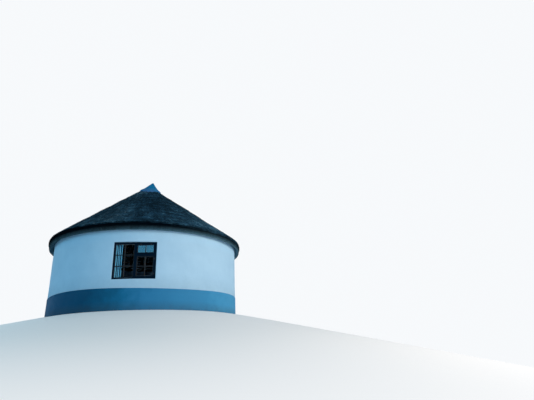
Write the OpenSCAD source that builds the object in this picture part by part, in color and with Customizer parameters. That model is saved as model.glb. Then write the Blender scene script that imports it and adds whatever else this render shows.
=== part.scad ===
// Round thatched hut: a circular masonry wall on a painted plinth, a conical roof of poles, laths and thatch, and a
// mortar cap at the apex. The front window faces -Y, the door is at the back, and the ground is at z = 0.

/* [Wall] */
// Outer radius of the wall
wall_r = 3600; // [3000:50:4500]
// Thickness of the wall
wall_t = 230; // [200:5:280]
// Height of the wall's outer face, from the ground to the thatch
wall_h = 2800; // [2650:10:3200]
// Height of the painted plinth
plinth_h = 750; // [400:10:900]
// How far the plinth stands out from the wall
plinth_proud = 10; // [5:1:30]
// Height of the floor above the ground
floor_h = 170; // [120:10:300]

/* [Windows] */
// Width of a window frame, which fills its opening
win_w = 1410; // [1200:10:1600]
// Height of a window frame
win_h = 1262; // [1000:2:1300]
// Height of the sill above the ground
sill_z = 1030; // [950:10:1100]
// Depth of window and door frames
frame_depth = 90; // [70:5:110]
// Face width of frames, mullions and transoms
frame_face = 58; // [45:1:70]
// Face width of a sash member
sash_face = 38; // [30:1:50]
// Thickness of a sash
sash_t = 44; // [35:1:50]
// How far a frame's corners lie behind the wall's outer face
frame_setback = 10; // [5:1:40]
// Thickness of the glass
glass_t = 4; // [3:1:8]
// Height of the top light's share of the window, from the head of the frame to the middle of the transom
top_light_h = 430; // [350:10:480]
// Thickness of the inner window boards
board_t = 22; // [15:1:30]
// Angle from the front window to each rear window
side_window_az = 120; // [105:1:135]

/* [Door] */
// Width of the door frame, which fills its opening
door_w = 1000; // [850:10:1200]
// Thickness of the door leaf
leaf_t = 44; // [35:1:50]
// Height of the handle above the floor
handle_z = 1000; // [850:10:1100]

/* [Roof] */
// Slope of the roof
roof_pitch = 37.4; // [35:0.2:45]
// How far the roof's point leans to the left
roof_lean = 180; // [0:10:200]
// Thickness of the thatch, square to its slope
thatch_t = 250; // [150:5:280]
// How far the eave's upper edge stands out from the wall
eave_out = 235; // [180:5:400]
// How far the eave's lower edge lies behind its upper edge
eave_undercut = 60; // [20:5:100]
// Radius of the worn upper edge of the eave
eave_round = 45; // [20:5:60]
// Diameter of the rafter poles
rafter_d = 90; // [70:2:94]
// Number of main rafters
rafters = 16; // [12:1:16]
// Radius at which the jack rafters end
jack_r = 1900; // [1500:50:2400]
// Thickness of the round laths
lath_d = 32; // [20:1:40]
// Distance between laths along the slope
lath_step = 300; // [250:10:400]
// Radius of the hub that the rafters meet
hub_r = 260; // [260:5:320]
// Width of the wall plate
plate_w = 116; // [90:2:120]
// Depth of the wall plate's bed below the top of the wall's outer face
plate_drop = 110; // [105:1:130]

/* [Cap] */
// Radius of the mortar cap
cap_r = 480; // [400:5:520]
// Height of the cap's point above its rim
cap_h = 395; // [300:5:480]
// Height of the cap's rim above the thatch's flat top
cap_rim = 20; // [15:1:40]

/* [Curtain] */
// Width of the drawn curtain
curtain_w = 260; // [200:10:600]
// Depth of its folds
curtain_t = 40; // [30:2:60]
// Diameter of its rail
rail_d = 14; // [10:1:18]
// Distance from the head of the window to the rail
rail_drop = 45; // [30:5:80]

/* [Hidden] */

// Clearance between pieces that seat on each other along a curve or a slope
seat_gap = 0.3;
// Running gap round a sash or a door leaf
fit_gap = 0.5;
// Overshoot of a cut past the face it opens
over = 50;
$fn = 96;
// Facets of the large rings in a preview
ring_fn = 360;

wall_in = wall_r - wall_t;
plinth_r = wall_r + plinth_proud;
head_z = sill_z + win_h;
rear_az = 180;
left_az = -side_window_az;
right_az = side_window_az;
segment_az = side_window_az / 2;

// Heights that follow the roof's slope at radius r
slope_gap = seat_gap / cos(roof_pitch);
function soffit_z(r) = wall_h + (wall_r - r) * tan(roof_pitch);
function thatch_z(r) = soffit_z(r) + thatch_t / cos(roof_pitch);
function rafter_z(r) = soffit_z(r) - (lath_d + 2 * seat_gap + rafter_d / 2) / cos(roof_pitch);
function rafter_under_z(r) = rafter_z(r) - rafter_d / 2 / cos(roof_pitch);

// The wall's inner half is lower, and carries the plate
plate_in = wall_in + 2;
plate_out = plate_in + plate_w;
leaf_in = plate_out + 2;
plate_z = wall_h - plate_drop;

// Distances from the middle of the hut to the outer faces of the flat frames
function flat_face_r(width) = sqrt(wall_r * wall_r - width * width / 4) - frame_setback;
win_face = flat_face_r(win_w);
door_face = flat_face_r(door_w);

plinth_profile = [
    [wall_in, 0], [plinth_r, 0], [plinth_r, plinth_h - plinth_proud], [wall_r, plinth_h], [wall_in, plinth_h]
];
wall_profile = [
    [wall_in, plinth_h], [wall_r, plinth_h], [wall_r, soffit_z(wall_r) - slope_gap],
    [leaf_in, soffit_z(leaf_in) - slope_gap], [leaf_in, plate_z], [wall_in, plate_z]
];

// Part of a ring between two angles counted from the front
module ring_part(az_from, az_to, profile)
    rotate([0, 0, az_from - 90]) rotate_extrude(angle = az_to - az_from, $fn = ring_fn) polygon(profile);

// Block that covers the wall's whole thickness at an angle, between two heights
module wall_block(az, width, z_from, z_to)
    rotate([0, 0, az]) translate([-width / 2, -plinth_r - over, z_from])
        cube([width, wall_t + 6 * over, z_to - z_from]);

module window_blocks(z_from, z_to)
    for (az = [0, left_az, right_az]) wall_block(az, win_w, z_from, z_to);

module door_block(z_from, z_to)
    wall_block(rear_az, door_w, z_from, z_to);

module plinth_part(az_from, az_to) color("steelblue")
    difference() {
        ring_part(az_from, az_to, plinth_profile);
        door_block(-over, plinth_h + over);
    }

module wall_part(az_from, az_to) color("aliceblue")
    difference() {
        ring_part(az_from, az_to, wall_profile);
        window_blocks(plinth_h - over, wall_h + 4 * over);
        door_block(plinth_h - over, wall_h + 4 * over);
    }

// Part of the wall under a window
module sill_part(az) color("aliceblue")
    intersection() {
        ring_part(az - segment_az / 2, az + segment_az / 2, wall_profile);
        wall_block(az, win_w, plinth_h - over, sill_z);
    }

// Part of the wall over a window or the door
module head_part(az, width) color("aliceblue")
    intersection() {
        ring_part(az - segment_az / 2, az + segment_az / 2, wall_profile);
        wall_block(az, width, head_z, wall_h + 4 * over);
    }

module floor_slab() color("silver")
    cylinder(h = floor_h, r = wall_in - seat_gap, $fn = ring_fn);

module door_threshold() color("silver")
    intersection() {
        rotate_extrude($fn = ring_fn) translate([wall_in, 0]) square([wall_t + plinth_proud, floor_h]);
        door_block(-over, floor_h);
    }

module wall_plate() color("saddlebrown")
    rotate_extrude($fn = ring_fn) polygon([
        [plate_in, plate_z], [plate_out, plate_z],
        [plate_out, rafter_under_z(plate_out) - slope_gap], [plate_in, rafter_under_z(plate_in) - slope_gap]
    ]);

// Pole on the slope between two radii
module pole(r_out, r_in)
    translate([0, -r_out, rafter_z(r_out)]) rotate([roof_pitch - 90, 0, 0])
        cylinder(h = (r_out - r_in) / cos(roof_pitch), d = rafter_d, $fn = 32);

rafter_out = leaf_in - rafter_d * 0.4;
hub_top = soffit_z(hub_r) - seat_gap;
hub_h = 2 * rafter_d + 20;

module main_rafters() color("sienna")
    difference() {
        for (i = [0 : rafters - 1]) rotate([0, 0, i * 360 / rafters]) pole(rafter_out, hub_r - rafter_d / 2);
        translate([0, 0, hub_top - 2 * hub_h]) cylinder(h = 4 * hub_h, r = hub_r + seat_gap);
    }

module jack_rafters() color("sienna")
    for (i = [0 : rafters - 1]) rotate([0, 0, (i + 0.5) * 360 / rafters]) pole(rafter_out, jack_r);

module apex_hub() color("sienna")
    translate([0, 0, hub_top - hub_h]) cylinder(h = hub_h, r = hub_r);

lath_out = leaf_in - lath_d;
lath_count = floor((lath_out - hub_r - lath_d) / (lath_step * cos(roof_pitch))) + 1;

module laths() color("peru")
    for (i = [0 : lath_count - 1]) {
        r = lath_out - i * lath_step * cos(roof_pitch);
        rotate_extrude($fn = 120)
            translate([r, soffit_z(r) - (lath_d / 2 + seat_gap) / cos(roof_pitch)]) circle(d = lath_d, $fn = 24);
    }

// The outer form of the thatch is a cone that leans, while the poles, its underside and the cap stay upright
eave_r = wall_r + eave_out;
cone_top = thatch_z(0);
cone_rise = cone_top - thatch_z(eave_r);
lean_angle = (atan(cone_rise / (eave_r - roof_lean)) - atan(cone_rise / (eave_r + roof_lean))) / 2;

module leaned()
    translate([-roof_lean, 0, cone_top]) rotate([0, -lean_angle, 0]) translate([0, 0, -cone_top]) children();

// Worn edge of the eave, an arc from upright to the roof's slope
eave_centre = [eave_r - eave_round, thatch_z(eave_r - eave_round) - eave_round / cos(roof_pitch)];
edge_steps = 4;
function edge(i) = let (a = i * (90 - roof_pitch) / edge_steps) eave_centre + eave_round * [cos(a), sin(a)];
edge_run = edge(edge_steps) - edge(edge_steps - 1);

// The edge's first and last faces run on past the underside and past the cone, which trim them
eave_foot = [eave_r - eave_undercut, soffit_z(eave_r - eave_undercut)];
eave_low = eave_foot - (edge(0) - eave_foot) * over / (edge(0) - eave_foot)[1];
edge_high = edge(edge_steps) + edge_run * (cone_top - edge(edge_steps)[1]) / edge_run[1];

// The thatch is closed over the hub and flat on top, under the cap
crown_r = cap_r - 150;
crown_z = thatch_z(crown_r);
cone_low = eave_r + 6 * over;

module leaning_cone(lift = 0)
    leaned() rotate_extrude($fn = ring_fn) polygon([
        [0, 0], [cone_low, 0], [cone_low, thatch_z(cone_low) + lift], [crown_r, crown_z + lift], [0, crown_z + lift]
    ]);

module thatch() color("dimgray")
    difference() {
        intersection() {
            rotate_extrude($fn = ring_fn) polygon(concat(
                [[0, eave_low[1]], eave_low], [for (i = [0 : edge_steps - 1]) edge(i)], [edge_high, [0, cone_top]]
            ));
            leaning_cone();
        }
        rotate_extrude($fn = ring_fn) polygon([
            [0, eave_low[1] - over], [eave_r + over, eave_low[1] - over], [eave_r + over, soffit_z(eave_r + over)],
            [hub_r, hub_top + seat_gap], [0, hub_top + seat_gap]
        ]);
    }

// The cap stands between the hut's axis and the thatch's. Its side is a little hollow, its point is blunt, and its rim
// runs down to the thatch, further where the thatch lies lower.
cap_x = -roof_lean / 6;
cap_curve = 1.1;
cap_steps = 12;
cap_tip = 30;
tip_drop = 14;
rim_z = crown_z + cap_rim;

module ridge_cap() color("steelblue")
    difference() {
        translate([cap_x, 0, 0]) rotate_extrude($fn = 120) polygon(concat(
            [[0, thatch_z(cap_r + roof_lean) - over], [cap_r, thatch_z(cap_r + roof_lean) - over]],
            [for (i = [0 : cap_steps - 1]) [
                cap_r - (cap_r - cap_tip) * i / cap_steps,
                rim_z + (cap_h - tip_drop) * pow(i / cap_steps, cap_curve)
            ]],
            [[cap_tip, rim_z + cap_h - tip_drop], [0, rim_z + cap_h]]
        ));
        leaning_cone(slope_gap);
    }

// Flat frame pieces are drawn facing the front, with the frame's outer face at y = -face_r
half_bay = (win_w - frame_face) / 2;
sash_w = half_bay - frame_face - 2 * fit_gap;
transom_z = head_z - top_light_h;
casement_h = transom_z - frame_face / 2 - sill_z - frame_face - 2 * fit_gap;
light_h = top_light_h - frame_face * 1.5 - 2 * fit_gap;
sash_x = frame_face / 2 + fit_gap;
sash_y = -win_face + 6;

// Upright panel with its lower left outer corner at a point
module panel(corner, w, t, h)
    translate(corner) cube([w, t, h]);

module window_frame(az) color("midnightblue")
    rotate([0, 0, az]) {
        difference() {
            panel([-win_w / 2, -win_face, sill_z], win_w, frame_depth, win_h);
            panel([-win_w / 2 + frame_face, -win_face - over, sill_z + frame_face],
                half_bay - frame_face, frame_depth + 2 * over, win_h - 2 * frame_face);
            panel([frame_face / 2, -win_face - over, sill_z + frame_face],
                half_bay - frame_face, frame_depth + 2 * over, casement_h + 2 * fit_gap);
            panel([frame_face / 2, -win_face - over, transom_z + frame_face / 2],
                half_bay - frame_face, frame_depth + 2 * over, light_h + 2 * fit_gap);
        }
    }

// Sash with an open middle, its lower left outer corner at the given height
module sash(az, z, h) color("midnightblue")
    rotate([0, 0, az]) difference() {
        panel([sash_x, sash_y, z], sash_w, sash_t, h);
        panel([sash_x + sash_face, sash_y - over, z + sash_face],
            sash_w - 2 * sash_face, sash_t + 2 * over, h - 2 * sash_face);
    }

casement_z = sill_z + frame_face + fit_gap;
light_z = transom_z + frame_face / 2 + fit_gap;
glass_y = sash_y + sash_t / 2;

module casement(az) sash(az, casement_z, casement_h);
module top_light(az) sash(az, light_z, light_h);

// Panes of the fixed side, the casement and the top light
module window_glass(az) color("lightcyan", 0.35)
    rotate([0, 0, az]) {
        panel([-win_w / 2 + frame_face, glass_y, sill_z + frame_face],
            half_bay - frame_face, glass_t, win_h - 2 * frame_face);
        panel([sash_x + sash_face, glass_y, casement_z + sash_face],
            sash_w - 2 * sash_face, glass_t, casement_h - 2 * sash_face);
        panel([sash_x + sash_face, glass_y, light_z + sash_face],
            sash_w - 2 * sash_face, glass_t, light_h - 2 * sash_face);
    }

// Boards lie on the sill parts, from the frames to the edges of the inner openings
reveal_in = sqrt(wall_in * wall_in - win_w * win_w / 4);
frame_in = win_face - frame_depth;

module window_boards() color("midnightblue")
    for (az = [0, left_az, right_az]) rotate([0, 0, az])
        panel([-win_w / 2, -frame_in, sill_z], win_w, frame_in - reveal_in, board_t);

module door_frame() color("midnightblue")
    rotate([0, 0, rear_az]) difference() {
        panel([-door_w / 2, -door_face, floor_h], door_w, frame_depth, head_z - floor_h);
        panel([-door_w / 2 + frame_face, -door_face - over, floor_h - over],
            door_w - 2 * frame_face, frame_depth + 2 * over, head_z - frame_face - floor_h + over);
    }

leaf_w = door_w - 2 * frame_face - 2 * fit_gap;
leaf_h = head_z - frame_face - floor_h - 2 * fit_gap;
leaf_y = -door_face + 20;

module door_leaf() color("midnightblue")
    rotate([0, 0, rear_az])
        panel([-leaf_w / 2, leaf_y, floor_h + fit_gap], leaf_w, leaf_t, leaf_h);

// Round plate, neck and knob on the outer face of the leaf
plate_d = 56;
plate_t = 6;
neck_d = 20;
neck_l = 40;
knob_d = 52;
knob_l = 22;
handle_inset = 60;

module door_handle() color("dimgray")
    rotate([0, 0, rear_az]) translate([leaf_w / 2 - handle_inset, leaf_y, floor_h + handle_z])
        rotate([90, 0, 0]) {
            cylinder(h = plate_t, d = plate_d);
            cylinder(h = neck_l, d = neck_d);
            translate([0, 0, neck_l]) cylinder(h = knob_l, d = knob_d);
        }

// The rail spans the reveal, and the curtain hangs from it down to the board
rail_y = -(frame_in + reveal_in) / 2;
rail_z = head_z - rail_drop;
curtain_top = rail_z - rail_d / 2 - seat_gap;
curtain_bottom = sill_z + board_t + 8;

module curtain_rail() color("silver")
    translate([-win_w / 2, rail_y, rail_z]) rotate([0, 90, 0]) cylinder(h = win_w, d = rail_d, $fn = 24);

module curtain() color("white", 0.7)
    panel([-win_w / 2 + 12, rail_y - curtain_t / 2, curtain_bottom],
        curtain_w, curtain_t, curtain_top - curtain_bottom);

floor_slab();
door_threshold();
plinth_part(-90, 0);  // plinth_front_left
plinth_part(0, 90);  // plinth_front_right
plinth_part(-180, -90);  // plinth_rear_left
plinth_part(90, 180);  // plinth_rear_right
wall_part(-segment_az, 0);  // wall_front_left
wall_part(0, segment_az);  // wall_front_right
wall_part(left_az, -segment_az);  // wall_left
wall_part(segment_az, right_az);  // wall_right
wall_part(-rear_az, left_az);  // wall_rear_left
wall_part(right_az, rear_az);  // wall_rear_right
sill_part(0);  // front_window_sill
sill_part(left_az);  // left_window_sill
sill_part(right_az);  // right_window_sill
head_part(0, win_w);  // front_window_head
head_part(left_az, win_w);  // left_window_head
head_part(right_az, win_w);  // right_window_head
head_part(rear_az, door_w);  // door_head
wall_plate();
main_rafters();
jack_rafters();
apex_hub();
laths();
thatch();
ridge_cap();
window_frame(0);  // front_frame
casement(0);  // front_casement
top_light(0);  // front_top_light
window_glass(0);  // front_glass
window_frame(left_az);  // left_frame
casement(left_az);  // left_casement
top_light(left_az);  // left_top_light
window_glass(left_az);  // left_glass
window_frame(right_az);  // right_frame
casement(right_az);  // right_casement
top_light(right_az);  // right_top_light
window_glass(right_az);  // right_glass
window_boards();
door_frame();
door_leaf();
door_handle();
curtain_rail();
curtain();
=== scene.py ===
# %% [markdown]
# # A round thatched hut
# The hut has a plastered masonry wall on a painted plinth, small-paned windows, a boarded door, and a roof of grass
# thatch under a mortar cap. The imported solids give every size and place. This lesson gives them their finish: it
# keeps the plain joinery as it is, and models again whatever has a soft or rough shape, such as plaster and thatch.

# %% Load the frame
import math
import bmesh
import bpy
import numpy as np
from mathutils import Matrix, Vector


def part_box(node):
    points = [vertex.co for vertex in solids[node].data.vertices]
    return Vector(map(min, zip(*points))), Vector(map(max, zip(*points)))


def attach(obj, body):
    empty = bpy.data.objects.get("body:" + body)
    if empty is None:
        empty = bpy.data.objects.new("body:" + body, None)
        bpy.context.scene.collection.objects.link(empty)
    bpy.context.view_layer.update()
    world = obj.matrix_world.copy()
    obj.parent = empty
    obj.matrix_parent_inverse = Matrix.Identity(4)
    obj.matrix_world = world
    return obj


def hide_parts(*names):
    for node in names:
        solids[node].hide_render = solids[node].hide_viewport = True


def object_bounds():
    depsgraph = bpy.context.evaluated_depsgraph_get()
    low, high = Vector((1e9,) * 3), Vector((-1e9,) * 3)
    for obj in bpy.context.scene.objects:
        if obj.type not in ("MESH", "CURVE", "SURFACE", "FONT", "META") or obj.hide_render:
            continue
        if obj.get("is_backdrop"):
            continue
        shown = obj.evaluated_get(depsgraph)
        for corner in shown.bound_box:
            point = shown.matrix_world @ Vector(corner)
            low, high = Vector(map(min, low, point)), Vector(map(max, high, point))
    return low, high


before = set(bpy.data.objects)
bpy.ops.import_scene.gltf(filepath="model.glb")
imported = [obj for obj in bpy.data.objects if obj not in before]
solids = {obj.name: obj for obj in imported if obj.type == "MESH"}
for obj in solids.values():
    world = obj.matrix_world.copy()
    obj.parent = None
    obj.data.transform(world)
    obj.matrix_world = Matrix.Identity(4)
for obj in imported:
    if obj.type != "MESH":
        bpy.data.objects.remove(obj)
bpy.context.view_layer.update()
scene = bpy.context.scene

# %% [markdown]
# Sizes come from the boxes of the solids, so that each new piece follows them. The roof's slope and the wall's height
# can't be read from a box, and are named here as real sizes.

# %% Sizes of the hut
wall_r = -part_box("wall_left")[0].x
wall_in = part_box("floor_slab")[1].x
plinth_r = -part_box("plinth_front_left")[0].x
plinth_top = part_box("plinth_front_left")[1].z
frame_low, frame_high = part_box("front_frame")
sill_z, head_z, win_w = frame_low.z, frame_high.z, frame_high.x * 2
door_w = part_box("door_frame")[1].x * 2
eave_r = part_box("thatch")[1].x
eave_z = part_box("thatch")[0].z
_, cap_r, peak_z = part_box("ridge_cap")[1]
rear_windows = math.radians(120)
window_turns = {"front": 0.0, "left": -rear_windows, "right": rear_windows}
openings = [(turn, win_w / 2) for turn in window_turns.values()]
doorway = (math.pi, door_w / 2)

wall_h = 2.8
roof_pitch = math.radians(37.4)
slope_out, slope_up = math.sin(roof_pitch), math.cos(roof_pitch)
thatch_t = 0.25
roof_lean = 0.18


def soffit_z(r):
    """Height of the thatch's underside at a radius."""
    return wall_h + (wall_r - r) * math.tan(roof_pitch)


def thatch_z(r):
    """Height of the thatch's outer slope at a radius."""
    return soffit_z(r) + thatch_t / slope_up


print("Wall radius", round(wall_r, 3), "plinth", round(plinth_top, 3), "eave", round(eave_r, 3), round(eave_z, 3))

# %% [markdown]
# The camera stands low and to the right of the front window, below the hut's base, and looks up and to the left, as
# the photograph does. Its place, its three turns and its lens were fitted to the wall's edges, the plinth's line, the
# eave and the window.

# %% Camera
camera_place = Vector((2.3206, -17.7459, -1.6955))
camera_yaw, camera_pitch, camera_roll = (math.radians(v) for v in (-9.11, 21.19, 2.735))

bpy.ops.object.select_all(action="DESELECT")
bpy.ops.object.camera_add()
camera = bpy.context.object
camera.name = "photo_camera"
camera.data.lens = 27.98
camera.data.sensor_width = 36
camera.data.clip_end = 200
turn = Matrix.Rotation(camera_yaw, 4, "Z") @ Matrix.Rotation(camera_pitch, 4, "X")
level_view = Matrix.Rotation(camera_roll, 4, "Y") @ Matrix.Rotation(math.radians(90), 4, "X")
camera.matrix_world = Matrix.Translation(camera_place) @ turn @ level_view
scene.camera = camera
print("Camera at", tuple(round(v, 2) for v in camera.location))

# %% [markdown]
# The world and the materials are built from nodes. A few helpers keep that short: an input takes either a value or
# another node's output, and arithmetic and mixing give back the output that comes next.

# %% Shader helpers


def fill(entry, value):
    """Gives an input a value, or a link from another node's output."""
    if isinstance(value, bpy.types.NodeSocket):
        entry.id_data.links.new(value, entry)
    else:
        entry.default_value = value


def put(node, **values):
    """Fills a node's inputs by name."""
    for key, value in values.items():
        fill(node.inputs[key.replace("_", " ")], value)


def add_node(tree, kind, settings=(), **values):
    """Node with its settings and the values of its named inputs."""
    node = tree.nodes.new("ShaderNode" + kind)
    for key, value in dict(settings).items():
        setattr(node, key, value)
    put(node, **values)
    return node


def calc(tree, operation, *values, kind="Math", output=0, **named):
    """Output of a math node, whose first inputs are given in order."""
    node = add_node(tree, kind, {"operation": operation}, **named)
    for entry, value in zip(node.inputs, values):
        fill(entry, value)
    return node.outputs[output]


def mix(tree, share, first, second, blend="MIX"):
    """Colour between two colours."""
    node = add_node(tree, "Mix", {"data_type": "RGBA", "blend_type": blend})
    for number, value in ((0, share), (6, first), (7, second)):
        fill(node.inputs[number], value)
    return node.outputs[2]


def mix_shaders(end, share, first, second):
    """Sends a mix of two shaders to the output of a material or of the world."""
    both = add_node(end.id_data, "MixShader", Fac=share)
    fill(both.inputs[1], first.outputs[0])
    fill(both.inputs[2], second.outputs[0])
    put(end, Surface=both.outputs[0])


def object_place(tree):
    return add_node(tree, "TexCoord").outputs["Object"]


def seen_directly(tree):
    """Socket that is 1 for camera, glossy and transmission rays, and 0 for the light that falls on things."""
    rays = add_node(tree, "LightPath").outputs
    first = calc(tree, "MAXIMUM", rays["Is Camera Ray"], rays["Is Glossy Ray"])
    return calc(tree, "MAXIMUM", first, rays["Is Transmission Ray"])


def colour(*levels):
    """Linear colour of an sRGB triple from 0 to 255."""
    shares = [v / 255 for v in levels]
    return tuple(v / 12.92 if v <= 0.04045 else ((v + 0.055) / 1.055) ** 2.4 for v in shares) + (1.0,)


def make_material(name, base, roughness, **sockets):
    """Principled material with a plain colour; returns the material, its tree and its shader."""
    material = bpy.data.materials.new(name)
    material.use_nodes = True
    shader = material.node_tree.nodes["Principled BSDF"]
    put(shader, Base_Color=base, Roughness=roughness, **sockets)
    return material, material.node_tree, shader


# %% [markdown]
# The light is plain and soft. A broad, slightly warm lamp, low on the right, makes that side of the wall the lighter
# one and puts little shade under the eave. A weak blue one on the left keeps the shade open, a third stands behind the
# hut, and a cool even world fills the rest, as open sky does in the photograph. The world shows white to the camera, to
# glass and to metal only. Lamps could be suns, but an area lamp's light falls off, and so it models the round wall.

# %% Lights and world
scene.view_settings.view_transform = "Standard"
sky_colour = (0.93, 0.95, 0.97, 1)
lamp_size = 11
lamps = {
    "key_lamp": ((18, -15, 3.6), (0, 0, 2.5), 3350, (1.0, 0.838, 0.718)),
    "fill_lamp": ((-14, -15, 3.6), (0, 0, 2.5), 700, (0.27, 0.80, 1.0)),
    "back_lamp": ((-8, 18, 10), (0, 0, 3), 1900, (0.88, 0.96, 1.0)),
}
for name, (place, aim, power, tint) in lamps.items():
    bpy.ops.object.light_add(type="AREA", location=place)
    lamp = bpy.context.object
    lamp.name = name
    lamp.data.shape, lamp.data.size = "DISK", lamp_size
    lamp.data.energy, lamp.data.color = power, tint
    lamp.rotation_euler = (Vector(aim) - Vector(place)).to_track_quat("-Z", "Y").to_euler()
    lamp.visible_camera = False

scene.world = bpy.data.worlds.new("studio_world")
scene.world.use_nodes = True
tree = scene.world.node_tree
backdrop = tree.nodes["Background"]
put(backdrop, Color=(0.62, 0.85, 1.0, 1), Strength=0.52)
seen = add_node(tree, "Background", Color=sky_colour)
mix_shaders(tree.nodes["World Output"], seen_directly(tree), backdrop, seen)
print("Lamps:", list(lamps))

# %% [markdown]
# Round pieces are turned on a lathe: a profile is drawn by extruding one vertex from point to point, and is spun
# round the hut's axis. The same few lines make the wall, the thatch and the cap, and the ground they stand on.

# %% Selecting and the lathe


def select_only(*pieces):
    """Selects the pieces and nothing else, with the first of them active."""
    bpy.ops.object.select_all(action="DESELECT")
    for piece in pieces:
        piece.select_set(True)
        bpy.context.view_layer.objects.active = pieces[0]


def apply_all():
    bpy.ops.object.transform_apply(location=True, rotation=True, scale=True)


def edit(piece):
    """Opens a piece in edit mode with everything selected."""
    select_only(piece)
    bpy.ops.object.mode_set(mode="EDIT")
    bpy.ops.mesh.select_mode(type="VERT")
    bpy.ops.mesh.select_all(action="SELECT")


def leave_edit(outward=False):
    """Leaves edit mode, with every face turned outwards first where that is asked for."""
    if outward:
        bpy.ops.mesh.select_all(action="SELECT")
        bpy.ops.mesh.normals_make_consistent(inside=False)
    bpy.ops.object.mode_set(mode="OBJECT")


def lathe(name, points, columns):
    """One vertex drawn through (radius, height) points and spun into a round piece."""
    select_only()
    bpy.ops.mesh.primitive_plane_add(size=0.01, location=(points[0][0], 0, points[0][1]))
    piece = bpy.context.object
    piece.name = name
    apply_all()
    edit(piece)
    bpy.ops.mesh.merge(type="CENTER")
    for (r0, z0), (r1, z1) in zip(points, points[1:]):
        bpy.ops.mesh.extrude_region_move(TRANSFORM_OT_translate={"value": (r1 - r0, 0, z1 - z0)})
    bpy.ops.mesh.select_all(action="SELECT")
    bpy.ops.mesh.spin(steps=columns, angle=2 * math.pi, center=(0, 0, 0), axis=(0, 0, 1))
    bpy.ops.mesh.select_all(action="SELECT")
    bpy.ops.mesh.remove_doubles(threshold=0.0002)
    leave_edit(outward=True)
    return piece


def vertex_places(piece):
    places = np.empty(len(piece.data.vertices) * 3)
    piece.data.vertices.foreach_get("co", places)
    return places.reshape(-1, 3)


def set_places(piece, places):
    piece.data.vertices.foreach_set("co", places.ravel())
    piece.data.update()


def paint(piece, material):
    piece.data.materials.clear()
    piece.data.materials.append(material)


# %% [markdown]
# The hut rests at height zero, and the camera is below that. A flat floor would hide the hut, so the pale ground is a
# low round mound: level under the hut, then falling away on every side. Far from the hut it takes the sky's colour
# where it is seen, so that no horizon and no pool of lamp light stands behind the hut. The light that it throws back
# on the hut, and the hut's own shadow on it, stay as they are.

# %% Ground
ground_profile = [(0, 0), (3.72, 0), (3.9, -0.018), (4.3, -0.10), (5.5, -0.37), (9, -1.2), (14, -2.4), (20, -3.5),
                  (60, -5)]
round_columns = 128
ground = lathe("ground", ground_profile, round_columns)
bpy.ops.object.shade_smooth()
ground_paint, tree, shader = make_material("pale_ground", (0.78, 0.79, 0.80, 1), 0.9)
distance = calc(tree, "LENGTH", object_place(tree), kind="VectorMath", output="Value")
fade = add_node(tree, "MapRange", {"interpolation_type": "SMOOTHSTEP"}, Value=distance, From_Min=7, From_Max=17)
far_glow = add_node(tree, "Emission", Color=sky_colour)
seen_far = calc(tree, "MULTIPLY", fade.outputs["Result"], seen_directly(tree))
mix_shaders(tree.nodes["Material Output"], seen_far, shader, far_glow)
paint(ground, ground_paint)
ground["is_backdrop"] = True
print("Ground falls to", ground_profile[-1][1], "m")

# %% [markdown]
# Materials share a few effects, so each effect is a node group with named inputs: soft mottling, fibres that run down
# the roof's slope, washes of dirt and of painted light between two heights, and the grain of wood.

# %% Mottling group
black, white = (0, 0, 0, 1), (1, 1, 1, 1)


def new_group(name, inputs, outputs):
    """Node group with named inputs, each with its default, and named outputs."""
    group = bpy.data.node_groups.new(name, "ShaderNodeTree")
    for label, default in inputs.items():
        kind = "Float" if isinstance(default, float) else {3: "Vector", 4: "Color"}[len(default)]
        socket = group.interface.new_socket(label, in_out="INPUT", socket_type="NodeSocket" + kind)
        socket.default_value = default
    for label in outputs:
        kind = "Color" if label == "Color" else "Float"
        group.interface.new_socket(label, in_out="OUTPUT", socket_type="NodeSocket" + kind)
    print("Group:", group.name)
    return group, group.nodes.new("NodeGroupInput").outputs, group.nodes.new("NodeGroupOutput")


mottle, given, leave = new_group(
    "mottle", {"Scale": 1.0, "Dark": black, "Pale": white, "Contrast": 0.5}, ["Color", "Value"])
spots = add_node(mottle, "TexNoise", Vector=object_place(mottle), Scale=given["Scale"], Detail=6.0, Roughness=0.6)
half = calc(mottle, "MULTIPLY", given["Contrast"], 0.5)
spread = add_node(mottle, "MapRange", Value=spots.outputs["Fac"], From_Min=calc(mottle, "SUBTRACT", 0.5, half),
                  From_Max=calc(mottle, "ADD", 0.5, half)).outputs["Result"]
put(leave, Color=mix(mottle, spread, given["Dark"], given["Pale"]), Value=spread)

# %% Group of fibres that run down the roof
fibres, given, leave = new_group("slope_fibres", {"Across": 60.0, "Along": 4.0}, ["Value"])
flat = calc(fibres, "MULTIPLY", object_place(fibres), (1, 1, 0), kind="VectorMath")
reach = calc(fibres, "LENGTH", flat, kind="VectorMath", output="Value")
way = calc(fibres, "NORMALIZE", flat, kind="VectorMath")
round_axis = calc(fibres, "SCALE", way, kind="VectorMath", Scale=given["Across"])
down = add_node(fibres, "CombineXYZ", Z=calc(fibres, "MULTIPLY", reach, given["Along"])).outputs[0]
lines = add_node(fibres, "TexNoise", Vector=calc(fibres, "ADD", round_axis, down, kind="VectorMath"), Scale=1.0,
                 Detail=3.0, Roughness=0.55)
put(leave, Value=lines.outputs["Fac"])
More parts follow.
